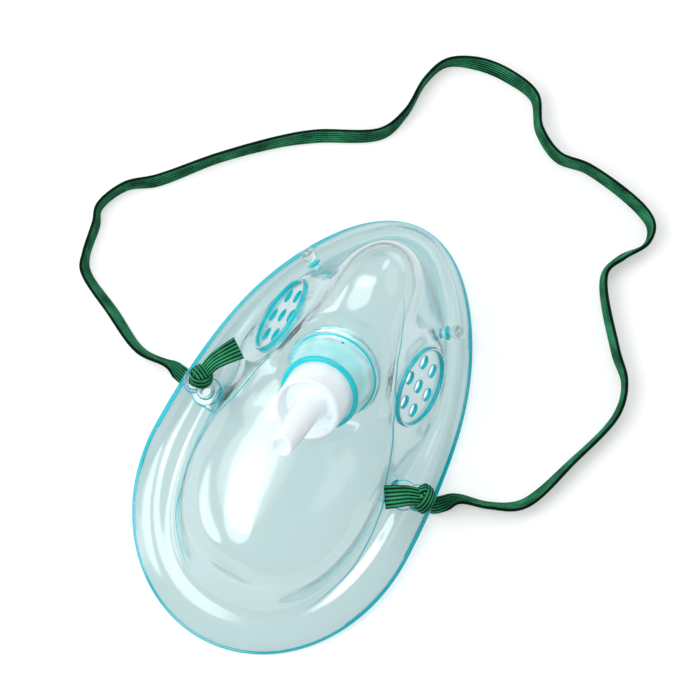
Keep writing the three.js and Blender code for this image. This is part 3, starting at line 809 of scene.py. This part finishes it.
def combined(base, tool, operation):
    """The mesh of base after a boolean with tool."""
    holder, cutter = linked("base", base), linked("tool", tool)
    change = holder.modifiers.new("change", "BOOLEAN")
    change.operation = operation
    change.object = cutter
    change.solver = "MANIFOLD"
    graph = bpy.context.evaluated_depsgraph_get()
    result = bpy.data.meshes.new_from_object(holder.evaluated_get(graph))
    for made in (holder, cutter):
        bpy.data.objects.remove(made)
    return result


fittings = collar_body
for extra in [*vent_lips, *pegs, *lug_pads]:
    fittings = combined(fittings, extra, "UNION")
fittings = combined(fittings, hollow, "DIFFERENCE")
shell_mesh = combined(shell_mesh, fittings, "UNION")
for cut in [collar_bore, *vent_rods, *eyelet_rods]:
    shell_mesh = combined(shell_mesh, cut, "DIFFERENCE")
shell_mesh.name = "clear_moulding"
shell_mesh.shade_smooth()
shell_mesh.set_sharp_from_angle(angle=SHARP_ANGLE)
moulding = piece("clear_moulding", shell_mesh)
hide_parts("mask_shell")
print("moulding:", len(shell_mesh.polygons), "faces")

# %% [markdown]
# ## Connector
#
# The connector is rigid, so its edges are crisper than the shell's. Its skirt sits in the collar with a
# small gap all round, which lets it turn. It rides on its own body and so turns in the other poses too.

# %% Connector
connector_profile = [
    (8.2, -11), (9.2, -11), (9.6, -10.4), (9.6, 0), (9.2, 10.25), (8.8, 10.65), (8.3, 10.65), (7.9, 10.25),
    (7.7, 6.05), (5.0, 6.05), (4.4, 6.85), (3.5, 25.3), (3.6, 25.9), (3.1, 33.0), (2.8, 33.3), (2.1, 33.3),
    (2.1, 4.55), (8.0, 4.55), (8.2, -11),
]
CONNECTOR_CORNER, CRISP_ANGLE = 0.35, math.radians(50)
fine_profile = rounded(connector_profile, CONNECTOR_CORNER)
fine_profile[-1] = fine_profile[0]
connector_mesh = spun(fine_profile, ROUND_SIDES, collar_rim, collar_axis)
connector_mesh.shade_smooth()
connector_mesh.set_sharp_from_angle(angle=CRISP_ANGLE)
connector = piece("milky_connector", connector_mesh, "connector")
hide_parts("tubing_connector")
print("connector:", len(connector_mesh.polygons), "faces")

# %% [markdown]
# ## Building with nodes
#
# A material is a small network: textures and sums feed the inputs of a shader. It can be drawn in the shader
# editor, but here it is written, so that it can be read from top to bottom. Two helpers keep it short. Given
# a number or a colour they set an input, and given the output of another node they link it.

# %% Node helpers
def fill(shader, *in_order, **by_name):
    """Fills a node's inputs, in order or by name with _ for a space."""
    named = [(shader.inputs[name.replace("_", " ")], value) for name, value in by_name.items()]
    for socket, value in [*zip(shader.inputs, in_order), *named]:
        if isinstance(value, bpy.types.NodeSocket):
            shader.id_data.links.new(value, socket)
        else:
            socket.default_value = value
    return shader


def node(tree, kind, *in_order, **by_name):
    """A new shader node with its inputs filled."""
    return fill(tree.nodes.new("ShaderNode" + kind), *in_order, **by_name)


def calc(operation, first, *others):
    """The result of a Math node in the tree of its first input."""
    made = node(first.id_data, "Math", first, *others)
    made.operation = operation
    return made.outputs[0]


def ramp(share, stops):
    """The colour at share, from (position, colour) stops in rising order."""
    made = node(share.id_data, "ValToRGB", share)
    elements = made.color_ramp.elements
    for element, (position, color) in zip(elements, (stops[0], stops[-1])):
        element.position, element.color = position, (*color, 1)
    for position, color in stops[1:-1]:
        elements.new(position).color = (*color, 1)
    return made.outputs["Color"]


def material(name):
    """A new material, its node tree and the shader it starts with."""
    made = bpy.data.materials.new(name)
    made.use_nodes = True
    return made, made.node_tree, made.node_tree.nodes["Principled BSDF"]


def dress(made, *finishes):
    """Gives a piece its materials, the first to slot 0."""
    made.data.materials.clear()
    for finish in finishes:
        made.data.materials.append(finish)


print("node helpers ready")

# %% [markdown]
# ## Clear soft plastic
#
# The plastic is nearly colourless where it is looked through squarely. Where it is seen edge-on, light has
# come a long way inside it and shows a vivid blue-green. Absorption in the volume would do the same, but it
# turns every thick place dark. Here the colour follows the slant of the surface, by a Layer Weight node,
# which keeps the edges bright. A thin coat gives the wet gloss of soft vinyl, and a faint ripple breaks its
# reflections. Lamps can't see through glass without caustics, so for shadow rays a nearly clear transparent
# surface stands in.

# %% Clear plastic
FILM_TINT = [(0.35, (0.50, 0.605, 0.61)), (0.66, (0.46, 0.63, 0.64)),
             (0.77, (0.22, 0.52, 0.56)), (0.9, (0.06, 0.4, 0.45))]


def clear_to_lamps(surface, tint):
    """Sends a surface to the output, with a clear tinted stand-in for shadow rays."""
    tree = surface.id_data
    stand_in = node(tree, "BsdfTransparent", Color=(*tint, 1))
    choice = node(tree, "MixShader", node(tree, "LightPath").outputs["Is Shadow Ray"],
                  surface.outputs[0], stand_in.outputs[0])
    fill(tree.nodes["Material Output"], Surface=choice.outputs[0])


def by_slant(tree, stops):
    """A colour that follows how squarely the surface is seen."""
    return ramp(node(tree, "LayerWeight", Blend=0.5).outputs["Facing"], stops)


vinyl, tree, surface = material("clear_vinyl")
ripple = node(tree, "TexNoise", Vector=node(tree, "TexCoord").outputs["Object"], Scale=45, Detail=2)
relief = node(tree, "Bump", Height=ripple.outputs["Fac"], Strength=0.12, Distance=0.002)
fill(surface, Base_Color=by_slant(tree, FILM_TINT), Roughness=0.11, IOR=1.58, Transmission_Weight=1.0,
     Coat_Weight=0.5, Coat_Roughness=0.14, Normal=relief.outputs["Normal"])
clear_to_lamps(surface, (0.88, 0.93, 0.935))
print("clear plastic:", len(tree.nodes), "nodes")

# %% [markdown]
# ## Bright edges and the misty collar
#
# Light that has run along inside the sheet comes out at its edges, so the rolled rim, the lips of the vents
# and eyelets and the walls of the holes glow blue-green, whatever lies behind them. That glow is painted:
# these faces get a plastic that is mostly blue-green body and a little glass. The collar is thicker and
# slightly cloudy, so it gets a paler mix with more glass.

# %% Plastics with a body
def body_plastic(name, color, clear_share, roughness):
    """A plastic between glass and solid colour."""
    made, tree, surface = material(name)
    cloud = node(tree, "TexNoise", Scale=90)
    relief = node(tree, "Bump", Height=cloud.outputs["Fac"], Strength=0.1, Distance=0.001)
    fill(surface, Base_Color=(*color, 1), Roughness=roughness, IOR=1.5,
         Transmission_Weight=clear_share, Normal=relief.outputs["Normal"])
    clear_to_lamps(surface, [0.2 + 0.6 * c for c in color])
    return made


# The blue-green of this plastic is a painted glow: light that ran inside the clear sheet and comes out at its
# edges.
edge_glow_vinyl = body_plastic("bright_edge", (0.0, 0.52, 0.6), 0.15, 0.1)
misty_vinyl = body_plastic("misty_collar", (0.58, 0.93, 0.94), 0.72, 0.12)
dress(moulding, vinyl, edge_glow_vinyl, misty_vinyl)
print("plastics on the moulding:", [made.name for made in moulding.data.materials])

# %% [markdown]
# ## The coloured rim
#
# After a boolean the faces have no names left, so they are picked by where they lie. A face belongs to the
# rim when it is near the rim's line and no further in than a band that is narrow at both ends and widens
# along the cheeks, where one looks into the thick of the edge. A KD tree finds the nearest point of the line.

# %% Paint the rim
CLEAR, EDGE, MISTY = 0, 1, 2
RIM_TOP, RIM_NEAR = 14, 2
BAND_LEAST, BAND_LEFT, BAND_RIGHT = 0.3, 0.85, 0.45
CHEEK_START, CHEEK_END = (-58, -8), (46, 66)
centres, face_normals = np.empty((2, len(shell_mesh.polygons), 3))
shell_mesh.polygons.foreach_get("center", centres.ravel())
shell_mesh.polygons.foreach_get("normal", face_normals.ravel())
centres /= MM


def edge_band(point):
    """Width of the coloured edge: widest along the cheeks, on the left more than on the right."""
    cheek = smooth(point[1], *CHEEK_START) * (1 - smooth(point[1], *CHEEK_END))
    return BAND_LEAST + (BAND_LEFT if point[0] < 0 else BAND_RIGHT) * cheek


slots = np.full(len(centres), CLEAR, dtype=np.int32)
rim_line = (outer[0] + inner[0]) / 2
rim_tree = KDTree(COLUMNS)
for i, point in enumerate(rim_line):
    rim_tree.insert(point, i)
rim_tree.balance()
# Faces in the rim's band take the painted glow of the edge.
for i in np.flatnonzero(centres[:, 2] < RIM_TOP):
    point, k, distance = rim_tree.find(centres[i])
    if distance < RIM_NEAR and (centres[i] - rim_line[k]) @ rim_out[k] > -edge_band(point):
        slots[i] = EDGE
print("faces on the rim:", int((slots == EDGE).sum()))

# %% [markdown]
# ## Lips, walls, pegs and collar
#
# The other fittings are round, so a face is found by its height along a fitting's axis, its distance from
# the axis and how far it looks along it. Vertex groups would be another way, but a boolean mixes them up.
# The measures come from the same seats that shaped the fittings.

# %% Paint the fittings
ANY = 2  # no face looks further along an axis than 1


def paint(centre, axis, *bands):
    """Each band is a slot, (lowest, highest), (nearest, farthest) and how far a face may look along axis."""
    axis = unit(np.array(axis, float))
    offset = centres - centre
    height = offset @ axis
    beside, along = np.linalg.norm(offset - height[:, None] * axis, axis=1), np.abs(face_normals @ axis)
    for slot, (low, high), (near, far), facing in bands:
        slots[(height > low) & (height < high) & (beside > near) & (beside < far) & (along < facing)] = slot


# The edge bands below take the painted glow at the vent lips, hole walls, pads, peg flanges and collar lines.
for centre, axis, _ in SEATS[1:]:
    paint(centre + up_lift, axis, (EDGE, (0.12, 1.4), (10.9, 11.35), ANY),
          (EDGE, (0.12, 1.4), (11.95, 12.45), ANY), (EDGE, (-2, 2), (-1, 9.7), 0.5))
for side in (-1, 1):
    seat, axis, row = lug_frame(side)
    for offset, radius, _, _ in PADS:
        paint(np.array(seat) + offset * np.array(row), axis, (EDGE, (-0.5, 3), (-1, radius + 0.1), 0.8))
    paint(*peg_seat(side), (MISTY, (0.1, 3.8), (-1, 2.3), ANY), (EDGE, (1.7, 2.9), (-1, 2.3), ANY))
paint(collar_centre, collar_axis, (MISTY, (3.0, 16), (-1, 14.2), ANY),
      (EDGE, (2.7, 3.15), (12.2, 14.2), ANY), (EDGE, (14.4, 16), (-1, 14.2), ANY))
shell_mesh.polygons.foreach_set("material_index", slots)
shell_mesh.update()
print("faces that are clear, edge and misty:", np.bincount(slots))

# %% [markdown]
# ## Lines in the folds
#
# Along each side the sheet is folded most tightly where the dome meets the wall, and light that ran inside
# the sheet comes out there as a thin vivid line. The faces of the mesh are too coarse to paint it, so each
# line is a fine bead that lies half sunk in the skin. Its route is a list of angles and levels of the skin,
# and it thins out to nothing at both ends.

# %% Fold lines
FOLD_RADIUS, FOLD_SIDES, FOLD_SMOOTHING = 0.24, 8, 30
POINTS_PER_STATION = 40
RIGHT_FOLD = [(31, 5.6), (44, 4.5), (51, 4.0), (60, 3.93), (68, 3.93), (80, 3.7), (91, 2.6), (108, 1.9),
              (124, 1.86), (138, 1.7)]
LEFT_FOLD = [(-44, 3.53), (-52, 3.8), (-63, 4.38), (-70, 4.5), (-77, 4.5), (-83, 4.0), (-90, 3.67),
             (-110, 3.6), (-128, 2.86), (-146, 3.0), (-160, 2.71)]


def fold_line(name, route):
    """A fine bead along a route of (angle from the nose in degrees, level) stations on the skin."""
    steps = np.linspace(0, len(route) - 1, POINTS_PER_STATION * len(route))
    angle, level = through(np.array(route) * (0.1, 1), steps).T
    places = skin(np.radians(angle * 10), level) + up_lift
    for _ in range(FOLD_SMOOTHING):
        places[1:-1] = (places[:-2] + 2 * places[1:-1] + places[2:]) / 4
    tangents = unit(np.gradient(places, axis=0))
    beside = unit(np.cross(tangents, (0, 0, 1)))
    above = np.cross(beside, tangents)
    radius = FOLD_RADIUS * np.sin(np.linspace(0, np.pi, len(places))) ** 0.5
    way = np.linspace(0, 2 * np.pi, FOLD_SIDES + 1)
    ring = np.cos(way)[None, :, None] * beside[:, None, :] + np.sin(way)[None, :, None] * above[:, None, :]
    made = piece(name, grid_mesh(name, places[:, None, :] + radius[:, None, None] * ring, way, steps))
    dress(made, edge_glow_vinyl)
    return made


fold_lines = [fold_line("right_fold_line", RIGHT_FOLD), fold_line("left_fold_line", LEFT_FOLD)]
print("fold lines:", [len(made.data.polygons) for made in fold_lines], "faces")

# %% [markdown]
# ## Milky plastic
#
# The connector scatters light just below its surface and lets some of it through. Where one looks squarely
# into it, it is faintly blue, and its slanting edges are painted nearly white, as a rim of light. Plain white
# would look like paint, so the body is part glass with some scattering below the surface, the colour follows
# the slant, and a fine cloud of bumps softens the gloss.

# %% Milky plastic
# Faintly blue where the connector is seen squarely; the white at slanting edges is a painted rim of light.
MILK_TINT_AND_RIM_LIGHT = [(0, (0.86, 0.94, 0.98)), (0.6, (0.96, 0.99, 1.0))]
milky = body_plastic("milky_plastic", (0.95, 0.98, 1.0), 0.42, 0.24)
tree = milky.node_tree
fill(tree.nodes["Principled BSDF"], Base_Color=by_slant(tree, MILK_TINT_AND_RIM_LIGHT),
     Subsurface_Weight=0.3, Subsurface_Radius=(0.0007, 0.0008, 0.0009))
dress(connector, milky)
print("milky plastic:", len(tree.nodes), "nodes")

# %% [markdown]
# ## Gate marks
#
# Where the plastic was shot into the mould a small scar is left: a dark plug on the collar and a low bump in
# the connector's cup. A dot of colour would do for the first, but both catch the light, so each is a low
# turned dome. The second rides on the connector and shows how far it has turned.

# %% Gate marks
GATE_SIDES = 20


def spoke(angle):
    """The direction at an angle round the collar's axis, in degrees."""
    angle = math.radians(angle)
    return np.cross(collar_axis, (1, 0, 0)) * math.sin(angle) + np.array([1, 0, 0]) * math.cos(angle)


def gate_mark(name, body, foot, facing, half, finish):
    """A low dome of radius half at foot."""
    dome = spun([(0, -0.1), (half, -0.1), (half * 0.8, 0.16), (0, 0.24)], GATE_SIDES, foot, facing)
    dome.shade_smooth()
    made = piece(name, dome, body)
    dress(made, finish)
    return made


gates = [
    gate_mark("collar_gate_mark", "mask", collar_centre + 12.3 * spoke(94) + 5.0 * collar_axis, spoke(94),
              0.4, body_plastic("gate_plug", (0.0, 0.1, 0.12), 0.0, 0.3)),
    gate_mark("cup_gate_mark", "connector", collar_rim + 5.8 * spoke(350) + 6.05 * collar_axis, collar_axis,
              1.1, milky),
]
print("gate marks:", [made.name for made in gates])

# %% [markdown]
# ## Woven elastic
#
# Fine yarns are wound across each rubber cord at a slant. The UV map of the band is in millimetres, so a
# sine along it gives yarns of the right size, and a slow noise gives the uneven dye. The grooves between the
# cords are nearly black, because light hardly reaches them, and the gloss is very low: a shiny groove would
# turn grey. Painted stripes would slide off where a band is squeezed, but these follow the map.

# %% Woven elastic
YARN_PHASE, YARN_SLANT = 12.0, 5.0  # radians for a millimetre along, radians for a cord across
ELASTIC_TINT = [(0, (0.0003, 0.006, 0.003)), (0.4, (0.004, 0.085, 0.035)), (0.7, (0.06, 0.4, 0.19))]
elastic, tree, surface = material("green_elastic")
weave_map = node(tree, "UVMap")
weave_map.uv_map = "weave"
split = node(tree, "SeparateXYZ", weave_map.outputs["UV"])
cord_place = calc("DIVIDE", calc("ADD", split.outputs["X"], STRAP_WIDTH / 2), CORD_WIDTH)
from_middle = calc("ABSOLUTE", calc("SUBTRACT", calc("FRACT", cord_place), 0.5))
groove = calc("POWER", calc("MULTIPLY", from_middle, 2.0), 2.0)
wound = calc("ADD", calc("MULTIPLY", split.outputs["Y"], YARN_PHASE),
             calc("MULTIPLY", from_middle, YARN_SLANT))
yarn = calc("MULTIPLY", calc("ADD", calc("SINE", wound), 1.0), 0.5)
dye = node(tree, "TexNoise", Vector=node(tree, "TexCoord").outputs["Object"], Scale=160, Detail=4)
lit = calc("ADD", calc("MULTIPLY", yarn, 0.3), calc("MULTIPLY", dye.outputs["Fac"], 0.9))
shade = calc("SUBTRACT", lit, calc("MULTIPLY", groove, 0.8))
relief = node(tree, "Bump", Height=yarn, Strength=0.5, Distance=0.0002)
fill(surface, Base_Color=ramp(shade, ELASTIC_TINT), Roughness=0.62, Specular_IOR_Level=0.06,
     Normal=relief.outputs["Normal"])
for made in (head_strap, left_knot, right_knot):
    dress(made, elastic)
print("elastic:", len(tree.nodes), "nodes")

# %% [markdown]
# ## Table
#
# The mask lies on white paper. Paper that is lit enough to look white would drown the soft shadows, so it is
# a pale grey that glows a little wherever the camera, a reflection or a clear wall sees it. The glow rises
# with the distance from the mask, so the shadows stay near it and the rest is paper white.

# %% Table
HALF_TABLE, PAPER = 3, 0.66
GLOW_NEAR, GLOW_FAR = (0.2, 0.42), (1.2, 1.0)
table_mesh = bpy.data.meshes.new("table")
corners = [(-HALF_TABLE, -HALF_TABLE, 0), (HALF_TABLE, -HALF_TABLE, 0),
           (HALF_TABLE, HALF_TABLE, 0), (-HALF_TABLE, HALF_TABLE, 0)]
table_mesh.from_pydata(corners, [], [(0, 1, 2, 3)])
table = linked("table", table_mesh)
paper, tree, surface = material("white_table")
fill(surface, Base_Color=(PAPER, PAPER, PAPER, 1), Roughness=0.8, Specular_IOR_Level=0.1)
rays = node(tree, "LightPath").outputs
seen = calc("MAXIMUM", rays["Is Camera Ray"],
            calc("MAXIMUM", rays["Is Glossy Ray"], rays["Is Transmission Ray"]))
away = node(tree, "VectorMath", node(tree, "TexCoord").outputs["Object"])
away.operation = "LENGTH"
fade = node(tree, "MapRange", Value=away.outputs["Value"], From_Min=GLOW_NEAR[0], From_Max=GLOW_FAR[0],
            To_Min=GLOW_NEAR[1], To_Max=GLOW_FAR[1])
glow = node(tree, "Emission", Strength=calc("MULTIPLY", seen, fade.outputs["Result"]))
both = node(tree, "AddShader", surface.outputs[0], glow.outputs[0])
fill(tree.nodes["Material Output"], Surface=both.outputs[0])
dress(table, paper)
print("table:", 2 * HALF_TABLE, "m wide")

# %% [markdown]
# ## Lamps
#
# A clear object is drawn by what it mirrors, so each white patch on it is the picture of a lamp. Three soft
# lamps on the left give the long streak on the crown and the streaks on the edge, a small near one lights
# the nose, one behind and a long low window touch the other side, and a weak one on the right fills in. They
# are flat ellipses, because photographers' round softboxes leave no corners in a reflection. A flat lamp's
# power is turned from brightness by its area, so a larger lamp gives a larger patch, not a brighter one.

# %% Lamps
LAMP_DISTANCE, LAMP_AIM = 0.8, (0, 0.01, 0.03)


def softbox(name, azimuth, height, size, strength, distance=LAMP_DISTANCE, aim=LAMP_AIM):
    """A flat lamp that faces aim; angles in degrees, strength is its brightness (1 is paper white)."""
    azimuth, height = math.radians(azimuth), math.radians(height)
    place = distance * Vector((math.cos(azimuth) * math.cos(height),
                               math.sin(azimuth) * math.cos(height), math.sin(height)))
    data = bpy.data.lights.new(name, "AREA")
    data.shape = "ELLIPSE"
    data.size, data.size_y = size
    data.energy = strength * math.pi ** 2 / 4 * size[0] * size[1]
    lamp = linked(name, data)
    lamp.location = place + Vector(aim)
    lamp.rotation_euler = (-place).to_track_quat("-Z", "Y").to_euler()


softbox("main_softbox_wide", -175, 56, (0.46, 0.92), 1.4)
softbox("main_softbox_middle", -175, 60, (0.32, 0.62), 2.4)
softbox("main_softbox_low", -150, 12, (0.66, 0.26), 3.0)
softbox("nose_softbox", -130, 50, (0.26, 0.24), 2.6, 0.3, (0, 0.04, 0.05))
softbox("back_softbox", 100, 58, (0.45, 0.45), 2.5)
softbox("right_fill", 30, 50, (0.68, 0.56), 0.6)
softbox("low_window", 80, 10, (1.24, 0.29), 1.3)
print("lamps:", len(bpy.data.lights))

# %% [markdown]
# ## Sky
#
# The room is dim, so that the lamps draw the shape, but the picture's background is white. Light Path tells
# which ray is asking: the camera and rays through the clear wall find white, mirror rays find half of it,
# which leaves room for the lamps' brighter pictures, and all others find the dim, slightly cool room.

# %% Sky
ROOM_LIGHT, MIRRORED = 0.3, 0.5
sky = bpy.data.worlds.new("studio")
bpy.context.scene.world = sky
sky.use_nodes = True
tree = sky.node_tree
room = fill(tree.nodes["Background"], Color=(0.93, 0.96, 1.0, 1), Strength=ROOM_LIGHT)
white = node(tree, "Background", Color=(1, 1, 1, 1))
rays = node(tree, "LightPath").outputs
seen = calc("MAXIMUM", rays["Is Camera Ray"], rays["Is Transmission Ray"])
share = calc("MULTIPLY_ADD", rays["Is Glossy Ray"], MIRRORED, seen)
pick = node(tree, "MixShader", share, room.outputs[0], white.outputs[0])
fill(tree.nodes["World Output"], Surface=pick.outputs[0])
bpy.context.scene.view_settings.view_transform = "Standard"
print("sky:", len(tree.nodes), "nodes")
